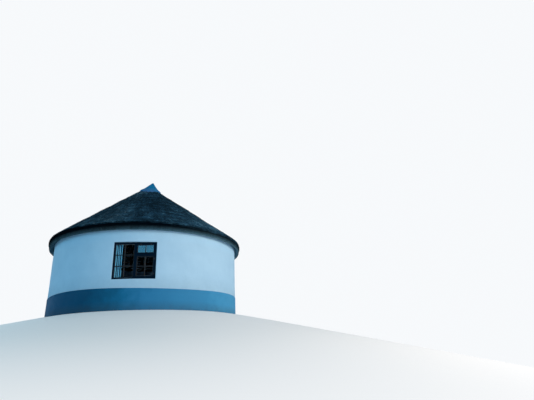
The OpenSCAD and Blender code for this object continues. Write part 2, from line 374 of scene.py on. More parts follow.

# %% Group of washes of dirt and of painted light between two heights
dirt_and_light_wash, given, leave = new_group(
    "dirt_and_light_by_height", {"Color": white, "Dirt": (0.1, 0.09, 0.08, 1), "Full At": 0.0, "None At": 0.3, "Amount": 0.3},
    ["Color", "Mask"])
place = object_place(dirt_and_light_wash)
cloud = add_node(dirt_and_light_wash, "TexNoise", Vector=place, Scale=5.0, Detail=8.0, Roughness=0.7)
height = add_node(dirt_and_light_wash, "MapRange", Value=add_node(dirt_and_light_wash, "SeparateXYZ", Vector=place).outputs["Z"],
                  From_Min=given["Full At"], From_Max=given["None At"], To_Min=1.0, To_Max=0.0)
uneven = calc(dirt_and_light_wash, "MULTIPLY", height.outputs["Result"], cloud.outputs["Fac"])
share = calc(dirt_and_light_wash, "MULTIPLY", uneven, given["Amount"])
share.node.use_clamp = True
put(leave, Color=mix(dirt_and_light_wash, share, given["Color"], given["Dirt"]), Mask=share)

# %% Group of wood grain along one direction
grain, given, leave = new_group(
    "wood_grain", {"Stretch": (1, 1, 0.06), "Scale": 60.0, "Dark": black, "Pale": white}, ["Color", "Value"])
pull = calc(grain, "MULTIPLY", object_place(grain), given["Stretch"], kind="VectorMath")
veins = add_node(grain, "TexNoise", Vector=pull, Scale=given["Scale"], Detail=5.0, Roughness=0.6, Distortion=0.4)
fac = veins.outputs["Fac"]
put(leave, Color=mix(grain, fac, given["Dark"], given["Pale"]), Value=fac)

# %% [markdown]
# Most finishes have one recipe: a pattern sets the colour and the roughness, dirt may lie over it in one or two
# washes, with painted light in the wall's top wash, and chained bumps give its relief.

# %% Recipe of the materials


def use_group(tree, group, **values):
    """The group as a node in a material, with the values of its named inputs."""
    return add_node(tree, "Group", {"node_tree": group}, **values)


def add_bump(tree, shader, layers):
    """Bumps of (noise scale, strength, depth), the broadest first, chained into the shader's normal."""
    place = object_place(tree)
    before = None
    for scale, strength, depth in layers:
        pattern = add_node(tree, "TexNoise", Vector=place, Scale=scale, Detail=4.0, Roughness=0.6)
        bump = add_node(tree, "Bump", Strength=strength, Distance=depth, Height=pattern.outputs["Fac"])
        if before is not None:
            put(bump, Normal=before)
        before = bump.outputs["Normal"]
    put(shader, Normal=before)
    return before


def vary_roughness(tree, shader, pattern, low, high):
    """Roughness between two values that follows a pattern."""
    spread = add_node(tree, "MapRange", Value=pattern.outputs["Value"], To_Min=low, To_Max=high)
    put(shader, Roughness=spread.outputs["Result"])


def patterned(name, base, roughness, spread, group, dark, pale, values, bumps, washes=(), **sockets):
    """Material with one pattern from dark to pale, under washes of dirt and of painted light."""
    material, tree, shader = make_material(name, colour(*base), roughness, **sockets)
    pattern = use_group(tree, group, Dark=colour(*dark), Pale=colour(*pale), **values)
    shade = pattern.outputs["Color"]
    for (full, none), wash_colour, amount in washes:
        wash = use_group(tree, dirt_and_light_wash, Color=shade, Dirt=colour(*wash_colour), Full_At=full, None_At=none, Amount=amount)
        shade = wash.outputs["Color"]
    put(shader, Base_Color=shade)
    vary_roughness(tree, shader, pattern, *spread)
    if bumps:
        add_bump(tree, shader, bumps)
    return material


def ramp(tree, share, stops):
    """Colour of a share on a ramp of (position, red, green, blue) stops."""
    node = add_node(tree, "ValToRGB", Fac=share)
    band = node.color_ramp.elements
    while len(band) < len(stops):
        band.new(0.5)
    for element, (position, *levels) in zip(band, stops):
        element.position = position
        element.color = colour(*levels)
    return node.outputs["Color"]


# %% [markdown]
# Paint on plaster is never one flat colour: limewash dries in clouds, and splashes soil its foot. The plinth's blue is
# painted darker on the left, where plants and dark ground shade it, and lighter on the right, where the light falls:
# painted shade and light. A ramp turns the place from left to right, made uneven by the clouds, into that colour. The
# top of the wall, under the eave, is painted paler and bluer, to undo the eave's shade there: painted light. The
# plaster is trowelled by hand, and three bumps give its slow wave and its sandy grain.

# %% Wall and plinth paint
# The wall's second wash paints its top paler and bluer, to undo the eave's shade there: painted light.
wall_paint = patterned(
    "wall_limewash", (154, 193, 219), 0.85, (0.78, 0.92), mottle, (148, 186, 213), (159, 196, 221),
    {"Scale": 1.4, "Contrast": 0.5}, [(3.0, 0.5, 0.012), (24.0, 0.45, 0.004), (220.0, 0.4, 0.0012)],
    [((plinth_top, plinth_top + 0.5), (92, 122, 140), 0.35), ((wall_h - 0.15, wall_h - 0.5), (160, 212, 244), 0.55)],
    Specular_IOR_Level=0.2)
concrete = patterned(
    "cast_concrete", (120, 122, 120), 0.85, (0.75, 0.95), mottle, (98, 101, 101), (138, 140, 137),
    {"Scale": 6.0, "Contrast": 0.6}, [(40.0, 0.3, 0.003), (300.0, 0.3, 0.001)], Specular_IOR_Level=0.3)

plinth_paint, tree, shader = make_material("plinth_limewash", colour(40, 113, 156), 0.75, Specular_IOR_Level=0.08)
clouds = use_group(tree, mottle, Scale=1.9, Contrast=0.45)
left_to_right = add_node(tree, "SeparateXYZ", Vector=object_place(tree)).outputs["X"]
# The plinth's blue is painted darker on the left and lighter on the right, by a ramp from left to right: painted shade
# and light.
shade_to_light = add_node(tree, "MapRange", Value=left_to_right, From_Min=-wall_r, From_Max=wall_r).outputs["Result"]
shaded_plinth_blue = ramp(tree, calc(tree, "MULTIPLY_ADD", clouds.outputs["Value"], 0.12, shade_to_light), [
    (0.03, 3, 84, 121), (0.18, 3, 71, 105), (0.36, 3, 68, 100), (0.44, 8, 81, 116), (0.53, 18, 97, 137),
    (0.62, 38, 111, 155), (0.90, 50, 124, 168), (1.0, 61, 136, 179)])
splash = use_group(tree, dirt_and_light_wash, Color=shaded_plinth_blue, Dirt=colour(52, 66, 70), Full_At=0.0, None_At=0.34, Amount=0.85)
put(shader, Base_Color=splash.outputs["Color"])
vary_roughness(tree, shader, clouds, 0.6, 0.8)
add_bump(tree, shader, [(4.0, 0.5, 0.012), (26.0, 0.45, 0.004), (220.0, 0.4, 0.0012)])
print("Paints:", wall_paint.name, plinth_paint.name, concrete.name)

# %% [markdown]
# Sine waves in random directions, added up, make a smooth relief with no seam anywhere. One function then gives the
# wall its slow wave and the thatch its lumps, and tells the straws how high the thatch lies under them.

# %% Relief


def limit(values):
    return np.clip(values, 0, 1)


def radius(places):
    """Distance of each place from the hut's axis."""
    return np.hypot(places[:, 0], places[:, 1])


def angle(places):
    """Angle of each place round the hut from the front."""
    return np.arctan2(places[:, 0], -places[:, 1])


def outward(places):
    """Each place divided by its distance from the axis: its first two numbers point away from the axis."""
    return places / np.maximum(radius(places), 0.01)[:, None]


def ring_points(around, r, z):
    """Points at angles from the front, radii and heights."""
    return np.stack([r * np.sin(around), -r * np.cos(around), z], axis=1)


def ripples(points, width, seed, count=20):
    """Random relief of about -1 to 1 at each point, with bumps about half the width across."""
    chance = np.random.default_rng(seed)
    ways = chance.normal(size=(count, 3))
    ways /= np.linalg.norm(ways, axis=1)[:, None]
    rates = 2 * np.pi / width * chance.uniform(0.75, 1.35, count)
    starts = chance.uniform(0, 2 * np.pi, count)
    waves = np.zeros(len(points))
    for way, rate, start in zip(ways, rates, starts):
        waves += np.sin(points @ (way * rate) + start)
    return waves / math.sqrt(count)


def fine(points, spacing):
    """The same profile with no two points further apart than the spacing."""
    finer = [points[0]]
    for (r0, z0), (r1, z1) in zip(points, points[1:]):
        parts = max(1, math.ceil(math.hypot(r1 - r0, z1 - z0) / spacing - 1e-6))
        finer += [(r0 + (r1 - r0) * i / parts, z0 + (z1 - z0) * i / parts) for i in range(1, parts + 1)]
    return finer


print("Relief at the origin:", round(float(ripples(np.zeros((1, 3)), 1.0, 1)[0]), 3))

# %% [markdown]
# The wall is one plastered ring, so the thirteen masonry solids become one piece with no joints in its face. Its
# openings have parallel jambs, while a lathe makes radial columns. The columns beside an opening are slid round the
# wall on to the jambs, the faces between them are deleted, and the outer and inner edges are bridged into reveals.

# %% Tools for openings
wall_columns = 360
slide_reach = math.radians(8)
wall_middle = (wall_r + wall_in) / 2


def slide_to_jambs(piece, jambs):
    """Slides the columns of vertices beside each opening on to its parallel jambs."""
    places = vertex_places(piece)
    r, around = radius(places), angle(places)
    moved = around.copy()
    step = 2 * math.pi / wall_columns
    for middle, half in jambs:
        column = round(math.asin(half / wall_middle) / step) * step
        off = (around - middle + np.pi) % (2 * np.pi) - np.pi
        wanted = np.arcsin(np.clip(half / np.maximum(r, 0.1), -1, 1))
        for side in (-1, 1):
            moved += side * limit(1 - np.abs(side * off - column) / slide_reach) * (wanted - column)
    set_places(piece, ring_points(moved, r, places[:, 2]))


def in_opening(point, middle, half, low, high):
    """True for a point in front of or behind the opening."""
    own = Matrix.Rotation(-middle, 3, "Z") @ point
    return own.y < 0 and abs(own.x) < half and low < own.z < high


def pick(piece, kind, test):
    """Selects, in edit mode, the faces or edges that pass the test."""
    bpy.ops.mesh.select_mode(type=kind)
    bpy.ops.mesh.select_all(action="DESELECT")
    mesh = bmesh.from_edit_mesh(piece.data)
    for part in (mesh.faces if kind == "FACE" else mesh.edges):
        if test(part):
            part.select_set(True)
    bmesh.update_edit_mesh(piece.data)


def change(piece, kind, test, tool, **settings):
    """Runs one edit-mode tool on the faces or edges that pass the test."""
    edit(piece)
    pick(piece, kind, test)
    tool(**settings)
    leave_edit()


def middle_of(edge):
    return (edge.verts[0].co + edge.verts[1].co) / 2


def on_face(vertex):
    """True on the wall's outer or inner face."""
    return min(abs(math.hypot(vertex.co.x, vertex.co.y) - r) for r in (wall_r, wall_in)) < 0.0005


# %% Wall
leaf_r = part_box("wall_plate")[1].x + 0.002
plate_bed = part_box("wall_plate")[0].z
wall_foot = plinth_top - 0.06
reveal_round = 0.012
wall_profile = [
    (wall_in + 0.004, wall_foot), (wall_r, wall_foot), (wall_r, plinth_top), (wall_r, sill_z), (wall_r, head_z),
    (wall_r, wall_h - 0.001), (leaf_r, soffit_z(leaf_r) - 0.001), (leaf_r, plate_bed), (wall_in, plate_bed),
    (wall_in, head_z), (wall_in, sill_z), (wall_in, plinth_top), (wall_in + 0.004, wall_foot),
]
wall = lathe("plaster_wall", fine(wall_profile, 0.09), wall_columns)
slide_to_jambs(wall, [*openings, doorway])
edit(wall)
pick(wall, "FACE", lambda f: in_opening(f.calc_center_median(), *doorway, wall_foot - 0.01, head_z)
     or any(in_opening(f.calc_center_median(), *opening, sill_z, head_z) for opening in openings))
bpy.ops.mesh.delete(type="FACE")
for middle, half in openings:
    pick(wall, "EDGE", lambda e: e.is_boundary
         and in_opening(middle_of(e), middle, half + 0.01, sill_z - 0.01, head_z + 0.01))
    bpy.ops.mesh.bridge_edge_loops(number_cuts=2)
pick(wall, "EDGE", lambda e: e.is_boundary and max(v.co.z for v in e.verts) > wall_foot + 0.01
     and in_opening(middle_of(e), doorway[0], doorway[1] + 0.01, wall_foot, head_z + 0.01))
bpy.ops.mesh.bridge_edge_loops(number_cuts=2)
pick(wall, "EDGE", lambda e: len(e.link_faces) == 2 and e.calc_face_angle() > 0.8
     and plinth_top + 0.01 < middle_of(e).z < head_z + 0.01 and all(on_face(v) for v in e.verts))
bpy.ops.mesh.bevel(offset=reveal_round, segments=3, profile=0.5, affect="EDGES")
leave_edit(outward=True)
print("Wall faces:", len(wall.data.polygons))

# %% Wave of the plaster


def clear_of_openings(places, fade):
    """Share from 0 at an opening's edge to 1 at the fade distance from it."""
    x, y, z = places.T
    share = np.ones(len(places))
    for (middle, half), low in [(o, sill_z) for o in openings] + [(doorway, 0.0)]:
        own_x = x * math.cos(middle) + y * math.sin(middle)
        own_y = -x * math.sin(middle) + y * math.cos(middle)
        gap = np.maximum.reduce([np.abs(own_x) - half, z - head_z, low - z])
        share = np.where(own_y < 0, np.minimum(share, limit(gap / fade)), share)
    return share


def wave_face(piece, low, high, broad, small):
    """Moves the outer face in and out by a broad and a small wave, and leaves its edges where they are."""
    places = vertex_places(piece)
    r, z = radius(places), places[:, 2]
    share = clear_of_openings(places, 0.3) * (r > wall_middle)
    share *= limit((z - low) / 0.1) * limit((high - z) / 0.1)
    lift = share * (broad * ripples(places, 1.9, 3) + small * ripples(places, 0.55, 4) - broad)
    places[:, :2] *= (1 + lift / np.maximum(r, 0.1))[:, None]
    set_places(piece, places)


def smooth_by_angle(piece, degrees):
    select_only(piece)
    bpy.ops.object.shade_smooth_by_angle(angle=math.radians(degrees))


def finish_piece(piece, material, slot, *nodes):
    """Gives a piece its material, its body and the solids it stands for."""
    paint(piece, material)
    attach(piece, "root")
    if nodes:
        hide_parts(*nodes)
    print(piece.name, "has", sum(len(f.vertices) - 2 for f in piece.data.polygons), "triangles")


wave_face(wall, plinth_top, wall_h, broad=0.004, small=0.0015)
smooth_by_angle(wall, 40)
wall_solids = [n for n in solids if n.startswith("wall_") and n != "wall_plate"]
wall_solids += [n for n in solids if n.endswith(("window_sill", "head"))]
finish_piece(wall, wall_paint, "wall_plaster", *wall_solids)

# %% [markdown]
# The plinth is the wall's painted foot. It stands a little proud, with a chamfer along its top that sheds rain. It is
# lathed and cut for the doorway in the same way, and the two cut ends are filled. Its top was run by eye, so it rises
# and falls by a few centimetres round the hut, and the wall's foot reaches down behind it.

# %% Plinth
proud = plinth_r - wall_r
line_drop, line_wave, line_turn = 0.0035, 0.033, math.radians(18)
plinth_profile = [(wall_in, 0), (plinth_r, 0), (plinth_r, plinth_top - proud), (wall_r + 0.001, plinth_top),
                  (wall_in, plinth_top), (wall_in, 0)]
plinth = lathe("painted_plinth", fine(plinth_profile, 0.1), wall_columns)
slide_to_jambs(plinth, [doorway])
edit(plinth)
pick(plinth, "FACE", lambda f: in_opening(f.calc_center_median(), *doorway, -0.01, plinth_top + 0.01))
bpy.ops.mesh.delete(type="FACE")
bpy.ops.mesh.select_all(action="SELECT")
bpy.ops.mesh.fill_holes(sides=0)
leave_edit(outward=True)
wave_face(plinth, 0.0, plinth_top - proud, broad=0.003, small=0.0015)
places = vertex_places(plinth)
line_rise = -line_drop - line_wave * np.cos(3 * (angle(places) - line_turn))
places[:, 2] += (radius(places) > wall_middle) * line_rise * limit(places[:, 2] / plinth_top) ** 2
set_places(plinth, places)
smooth_by_angle(plinth, 30)
finish_piece(plinth, plinth_paint, "plinth_paint", *[n for n in solids if n.startswith("plinth_")])

# %% [markdown]
# Thatch is a thick coat of grass, laid in courses from the eave up and combed down the slope. From a few metres it
# reads as a dark rough skin with lumps and faint rows, with a lip that overhangs the cut face of the eave. A hair
# system could grow every stem, but an export loses it. So the coat is lathed closed, then its outer side is swelled by
# lumps and by the low steps of its courses, and stems of real mesh lie on it. It was laid by hand, so it is also a
# little fuller on the left of the window's side than on the right: its rings move that way towards the top.

# %% Thatch coat
crown_r = 0.34
crown_z = thatch_z(crown_r)
hub_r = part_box("apex_hub")[1].x
foot_r = eave_r - 0.060
course_step = 0.40
coat_columns = 480

lip = [(eave_r - back, thatch_z(eave_r - back) - drop)
       for back, drop in ((0.130, 0), (0.085, 0.004), (0.050, 0.013), (0.022, 0.030), (0.005, 0.054))]
lip += [(eave_r - 0.004, eave_z + 0.190), (eave_r - 0.020, eave_z + 0.176), (eave_r - 0.062, eave_z + 0.174)]
cut_face = [(eave_r - 0.060, eave_z + 0.155), (eave_r - 0.034, eave_z + 0.138), (foot_r + 0.004, eave_z + 0.012),
            (foot_r - 0.006, soffit_z(foot_r - 0.006))]
coat_profile = [(0, crown_z)] + fine([(crown_r, crown_z), lip[0]], 0.036) + fine(lip, 0.014)[1:]
coat_profile += fine([lip[-1]] + cut_face, 0.024)[1:] + fine([cut_face[-1], (hub_r, soffit_z(hub_r))], 0.3)[1:]
coat = lathe("thatch_coat", coat_profile + [(0, soffit_z(hub_r))], coat_columns)
print("Coat vertices:", len(coat.data.vertices))

# %% Lumps, courses and lean


def lean_at(r):
    """How far a ring of the thatch lies to the left of the axis: nothing at the eave, most at the cap."""
    return -roof_lean * (eave_r - r) / eave_r


def leaned_z(x, y):
    """Height of the leaned slope at places in plan."""
    r = np.hypot(x, y)
    for _ in range(8):
        r = np.hypot(x - lean_at(r), y)
    return thatch_z(r)


def combed(places, width, seed, across=0.55, along=0.3):
    """Relief drawn out down the slope, as a thatcher's comb leaves it, or round the roof if along is 1."""
    ring = outward(places)[:, :2] * (across * eave_r)
    return ripples(np.column_stack([ring, along * radius(places)]), width, seed)


def course_share(places):
    """Share from 0 to 1 of the way up each course."""
    up_slope = (eave_r - radius(places)) / slope_up
    return (up_slope / course_step + 0.18 * ripples(places, 1.3, 14) + 0.08 * ripples(places, 0.4, 16)) % 1


def coat_relief(places):
    """Height of the thatch over its even slope, in metres, at points near the slope."""
    r = radius(places)
    lumps = 0.008 * ripples(places, 2.1, 11) + 0.005 * ripples(places, 0.8, 12)
    lumps += 0.006 * combed(places, 0.45, 13) + 0.004 * combed(places, 0.2, 15)
    steps = 0.006 * (1 - course_share(places)) ** 1.5
    return limit((r - cap_r + 0.04) / 0.15) * limit((eave_r - 0.09 - r) / 0.15) * (lumps + steps - 0.012)


def lit_right_share(places):
    """Share from 0 to 1 towards the hut's right side, where the thatch is painted lighter: painted light."""
    return limit((places[:, 0] - 0.5) / 2.2)


def coat_tone(places, seed):
    """Brightness from 0 to 1 of the thatch, in patches and streaks, with a wash of mortar under the cap, painted shadow
    under each course's butts, and painted light on the right side and at the front left.
    """
    r, (x, y, _) = radius(places), places.T
    patches = 0.03 * ripples(places, 1.7, 21) + 0.02 * combed(places, 0.5, 22) + 0.03 * combed(places, 0.2, 23)
    patches += 0.03 * combed(places, 0.1, 26) + 0.06 * ripples(places, 0.12, 24)
    patches += 0.07 * combed(places, 0.15, 27, 0.3, 1)
    up_course = course_share(places)
    # Each course is paler just above its butts, and a painted shadow darkens it just under the next course's butts.
    patches += 0.12 * np.exp(-((up_course - 0.14) / 0.11) ** 2) - 0.12 * np.exp(-((up_course - 0.92) / 0.09) ** 2)
    # The right side is painted lighter: painted light.
    patches += 0.10 * limit((r - 2.5) / 1.0) + 0.17 * lit_right_share(places)
    # The front left is painted paler: painted light.
    patches += 0.12 * limit((0.05 - x) / 0.6) * limit(-y / 0.6)
    washed = limit((1.35 - r) / 0.5) * limit(0.45 + 1.2 * ripples(places * (0.16, 0.16, 1.0), 0.13, 25))
    washed *= np.clip(0.45 - 0.75 * x / np.maximum(r, 0.01), 0.1, 1)
    return 0.42 + patches + 0.5 * washed + 0.09 * np.random.default_rng(seed).normal(size=len(places))


def store(piece, name, values):
    """Stores one number per vertex for the material to read."""
    layer = piece.data.attributes.new(name, "FLOAT", "POINT")
    layer.data.foreach_set("value", np.asarray(values, dtype=np.float32))


# %% Shape and tone of the coat
places = vertex_places(coat)
r = radius(places)
x, _, z = places.T
above = z - soffit_z(r)
outside = limit((above - 0.05) / 0.1)
rise = coat_relief(places) * outside
ways_out = outward(places)[:, :2]
places[:, :2] += ways_out * (rise * slope_out)[:, None]
z += rise * slope_up
at_lip = limit((r - (eave_r - 0.10)) / 0.04) * limit(above / 0.05)
ragged = at_lip * (0.005 * ripples(places, 0.5, 31) + 0.004 * ripples(places, 0.12, 32) - 0.004)
places[:, :2] += ways_out * ragged[:, None]
z += 0.5 * ragged
x += lean_at(r) * outside
set_places(coat, places)

up = z - eave_z
cut_share = limit((r - (eave_r - 0.12)) / 0.02) * limit((0.185 - up) / 0.02)
# The cut face is painted darker at its top, where the lip shades it, and paler at its foot, where the wall throws light
# back: painted shade and light.
face_tone = 0.10 + 0.68 * limit((0.150 - up) / 0.14) + 0.14 * lit_right_share(places)
tone = np.where(cut_share > 0.5, face_tone, coat_tone(places, 41))
# A band at the lip's foot is painted dark, as the shade under the lip, and less dark on the right: painted shade.
in_shade = limit((0.264 - up) / 0.02) * (r > eave_r - 0.11) * (cut_share < 0.5)
tone -= in_shade * (1 - 0.62 * lit_right_share(places))
store(coat, "tone", np.clip(tone, -0.4, 1))
store(coat, "cut", cut_share)
select_only(coat)
bpy.ops.object.shade_smooth()
print("Tone from", round(float(tone.min()), 2), "to", round(float(tone.max()), 2))

# %% [markdown]
# Old grass thatch weathers to a dark slate, with paler stems here and there. It is quite matt, so its specular level is
# nothing. The tone of each stem is stored in the mesh, with the pale ends of each course, painted shade under the lip
# and under each course's butts, and painted light on the roof's right side and front left. The material turns it into
# colour through two ramps: one for the slope, and one for the cut face, and paints the roof's left side a little
# warmer: painted light.

# %% Thatch material


def layer(tree, name):
    """Output of the numbers that are stored in the mesh under a name."""
    return add_node(tree, "Attribute", {"attribute_name": name}).outputs["Fac"]


thatch_finish, tree, shader = make_material("weathered_thatch", colour(24, 44, 58), 0.9, Specular_IOR_Level=0.0)
stems = use_group(tree, fibres, Across=260.0, Along=9.0)
flecks = use_group(tree, mottle, Scale=16.0, Contrast=0.55)
grass_tone = calc(tree, "MULTIPLY_ADD", stems.outputs["Value"], 0.45, layer(tree, "tone"))
grass_tone = calc(tree, "MULTIPLY_ADD", flecks.outputs["Value"], 0.22, grass_tone)
grass_tone = calc(tree, "SUBTRACT", grass_tone, 0.33)
slope_colour = ramp(tree, grass_tone, [(0.0, 2, 8, 16), (0.28, 18, 35, 46), (0.52, 32, 59, 77), (0.72, 46, 87, 112),
                                       (0.92, 80, 124, 148), (1.0, 112, 142, 156)])
cut_colour = ramp(tree, grass_tone, [(0.0, 5, 13, 20), (0.25, 23, 38, 46), (0.5, 37, 58, 69), (0.75, 51, 82, 98),
                                     (1.0, 84, 110, 122)])
grass = mix(tree, layer(tree, "cut"), slope_colour, cut_colour)
# The left side is painted warmer, to offset the blue lamp on that side: painted light.
left_to_right = add_node(tree, "SeparateXYZ", Vector=object_place(tree)).outputs["X"]
warm_left_share = add_node(tree, "MapRange", Value=left_to_right, From_Min=0.1, From_Max=-0.9).outputs["Result"]
put(shader, Base_Color=mix(tree, warm_left_share, grass, (1.18, 0.95, 0.86, 1), "MULTIPLY"))
vary_roughness(tree, shader, stems, 0.75, 0.98)
lay = add_bump(tree, shader, [(22.0, 0.6, 0.02), (90.0, 0.5, 0.006)])
stem_bump = add_node(tree, "Bump", Strength=0.6, Distance=0.006, Height=stems.outputs["Value"], Normal=lay)
put(shader, Normal=stem_bump.outputs["Normal"])
finish_piece(coat, thatch_finish, "thatch", "thatch")

# %% [markdown]
# Loose stems break up the skin and the outline. Each is a closed needle of four faces, with its thick end buried in the
# coat and its tip lifted a little, down the slope. There are tens of thousands, so their points come from arrays.

# %% Straws


def draws(seed, number):
    """Two functions that draw so many even and so many normal random numbers, in turn, from one seed."""
    chance = np.random.default_rng(seed)
    return lambda low, high: chance.uniform(low, high, number), lambda mean, width: chance.normal(mean, width, number)


def unit(vectors):
    return vectors / np.linalg.norm(vectors, axis=1)[:, None]


def tilted(down, across, turn, normal, lift):
    """Direction down the slope, turned to one side and lifted off it."""
    return unit(down + across * turn[:, None] + normal * lift[:, None])


def add_object(name, mesh):
    piece = bpy.data.objects.new(name, mesh)
    scene.collection.objects.link(piece)
    return piece


def add_straws(name, corners, faces, tones, cut):
    """One mesh of many like straws, from the corners of each and the triangles of one."""
    number, each = corners.shape[:2]
    index = np.arange(number, dtype=np.int32)[:, None, None] * each + np.array(faces, dtype=np.int32)
    mesh = bpy.data.meshes.new(name)
    mesh.vertices.add(number * each)
    mesh.vertices.foreach_set("co", corners.ravel())
    mesh.loops.add(index.size)
    mesh.loops.foreach_set("vertex_index", index.ravel())
    mesh.polygons.add(index.size // 3)
    mesh.polygons.foreach_set("loop_start", np.arange(0, index.size, 3, dtype=np.int32))
    mesh.update(calc_edges=True)
    piece = add_object(name, mesh)
    store(piece, "tone", tones)
    store(piece, "cut", np.full(number * each, cut))
    finish_piece(piece, thatch_finish, "thatch")


def thick_end(ways, normal, widths):
    """The two directions across each straw, and half its width."""
    sides = unit(np.cross(ways, normal))
    return sides, np.cross(sides, ways), widths[:, None] / 2


def add_needles(name, roots, ways, normal, lengths, widths, tones, tip_tones):
    """Needles from the middles of their buried ends, along their ways."""
    sides, tops, half = thick_end(ways, normal, widths)
    corners = np.stack([roots + sides * half, roots - sides * half, roots + tops * half * 1.4,
                        roots + ways * lengths[:, None]], axis=1)
    tones = np.clip(np.column_stack([tones, tones, tones, tip_tones]), -0.4, 1).ravel()
    add_straws(name, corners, [(0, 2, 3), (2, 1, 3), (1, 0, 3), (0, 1, 2)], tones, 0)


def slope_frame(around):
    """Outward normal, direction down the slope and direction round the roof, at each angle from the front."""
    level = np.zeros_like(around)
    out = ring_points(around, 1, level)
    up = np.array([[0.0, 0.0, 1.0]])
    across = np.stack([np.cos(around), np.sin(around), level], axis=1)
    return out * slope_out + up * slope_up, out * slope_up - up * slope_out, across


# %% Stems on the slope
stems_each = 42000
buried = 0.006
for number, sector in enumerate(["front", "right", "left"]):
    even, bell = draws(100 + number, stems_each)
    around = (number + even(-0.5, 0.5)) * 2 * np.pi / 3
    r = np.sqrt(even(cap_r ** 2, (eave_r - 0.10) ** 2))
    normal, down, across = slope_frame(around)
    on_slope = ring_points(around, r, thatch_z(r))
    surface = on_slope + normal * coat_relief(on_slope)[:, None]
    surface[:, 0] += lean_at(r)
    lengths = np.minimum(even(0.09, 0.26), (eave_r - 0.012 - r) / slope_up)
    ways = tilted(down, across, bell(0, 0.16), normal, np.abs(bell(0.05, 0.03)))
    own = bell(0.02, 0.11)
    tones = coat_tone(on_slope, 200 + number) + own
    tip_tones = coat_tone(on_slope + ways * lengths[:, None], 200 + number) + own
    add_needles("stems_" + sector, surface - normal * buried, ways, normal, lengths, even(0.006, 0.012), tones,
                tip_tones)

# %% [markdown]
# At the eave the coat is cut off square. The butts of the reeds show there as blunt ends, and a thin fringe hangs over
# the lip. Blunt ends are short three-sided pegs that follow the slope's direction out of the cut face.

# %% Reed butts
butts = 15000
even, bell = draws(300, butts)
around, share = even(-np.pi, np.pi), even(0.02, 0.86)
normal, down, across = slope_frame(around)
points = ring_points(around, foot_r + (eave_r - 0.036 - foot_r) * share, eave_z + 0.150 * share)
ways = tilted(down, across, bell(0, 0.12), normal, bell(0.02, 0.08))
# The butts are painted pale at the foot of the cut face and dark towards the lip above, and paler on the right: painted
# light and shade.
tones = 0.76 - 0.68 * share + 0.14 * lit_right_share(points) + 0.05 * ripples(points, 0.5, 61)
tones += bell(0, 0.2)
lengths = even(0.024, 0.042)
sides, tops, half = thick_end(ways, normal, even(0.007, 0.012))
ring = [sides * half, -sides * half * 0.6 + tops * half * 0.8, -sides * half * 0.6 - tops * half * 0.8]
near = (points - ways * 0.03)[:, None] + np.stack(ring, axis=1)
far = near + (ways * lengths[:, None])[:, None]
add_straws("reed_butts", np.concatenate([near, far], axis=1),
           [(0, 1, 4), (0, 4, 3), (1, 2, 5), (1, 5, 4), (2, 0, 3), (2, 3, 5), (3, 4, 5), (0, 2, 1)],
           np.repeat(limit(tones), 6), 1)

# %% Fringe
fringe = 16000
even, bell = draws(301, fringe)
around = even(-np.pi, np.pi)
normal, down, across = slope_frame(around)
r = even(eave_r - 0.16, eave_r - 0.05)
points = ring_points(around, r, thatch_z(r) - 0.012)
ways = tilted(down, across, bell(0, 0.15), normal, -even(0, 0.22))
reach = (eave_r - 0.004 + 0.010 * ripples(points, 0.4, 62) - r) / slope_up
lengths = np.clip(reach * even(0.7, 1.0), 0.03, 0.16)
tones = coat_tone(points, 302) + bell(0, 0.12)
# Each fringe stem's tip is painted dark, as the shade under the lip, and less dark on the right: painted shade.
add_needles("eave_fringe", points, ways, normal, lengths, even(0.007, 0.012), tones,
            tones - 1.2 + 0.69 * lit_right_share(points))

# %% [markdown]
# The apex is sealed with a cone of mortar, trowelled over the last course and painted blue. It stands level, so its rim
# shows more where the thatch lies lower, and its hem runs down over the stems in front. It is lathed, then its rim's
# wall is stretched down to the leaned thatch on every side, and its hem is pushed in and out.

# %% Ridge cap
rim_z = peak_z - 0.42
rim_drop = 0.2
side_r = cap_r - 0.075
cap_foot = [(0, crown_z + 0.001), (0.30, crown_z + 0.001)]
cap_side = [(cap_r + 0.014, rim_z - rim_drop), (cap_r, rim_z - 0.15), (cap_r - 0.020, rim_z - 0.09),
            (cap_r - 0.044, rim_z - 0.04), (cap_r - 0.060, rim_z - 0.016)]
cap_side += [(side_r - (side_r - 0.030) * t, rim_z + (peak_z - 0.016 - rim_z) * t ** 1.08)
             for t in np.linspace(0, 1, 20)]
cap_side += [(0.020, peak_z - 0.006), (0.010, peak_z - 0.001), (0, peak_z)]
cap = lathe("mortar_cap", cap_foot + fine(cap_side, 0.03), round_columns)
places = vertex_places(cap)
r, around = radius(places), outward(places)
x, y, z = places.T
below = limit((rim_z - z) / rim_drop) * (r > 0.35)
hem = limit((r - 0.25) / 0.15)
swell = 0.004 * ripples(places, 0.9, 71) + 0.0025 * ripples(places, 0.25, 72)
uneven = 0.010 * ripples(around * 0.4, 0.7, 73) + 0.008 * ripples(around * 0.4, 0.22, 74)
run_down = 0.24 * limit(-around[:, 1]) ** 4
pushed = swell * limit(r / 0.1) + hem * uneven - 0.006 * hem + below * run_down
places[:, :2] += around[:, :2] * pushed[:, None]
x -= 0.012 + 0.10 * limit(1 - (z - rim_z) / (peak_z - rim_z)) ** 0.85
foot = np.minimum(leaned_z(x, y) - 0.014, rim_z - 0.03)
z[:] = np.where(below > 0, rim_z - below * (rim_z - foot), z)
set_places(cap, places)
smooth_by_angle(cap, 50)

cap_finish = patterned(
    "cap_paint", (2, 98, 148), 0.8, (0.65, 0.85), mottle, (2, 95, 142), (16, 118, 165), {"Scale": 7.0, "Contrast": 0.6},
    [(14.0, 0.4, 0.006), (120.0, 0.4, 0.002)], [((rim_z - 0.32, rim_z + 0.02), (70, 94, 140), 1.6)],
    Specular_IOR_Level=0.05)
finish_piece(cap, cap_finish, "cap_mortar", "ridge_cap")

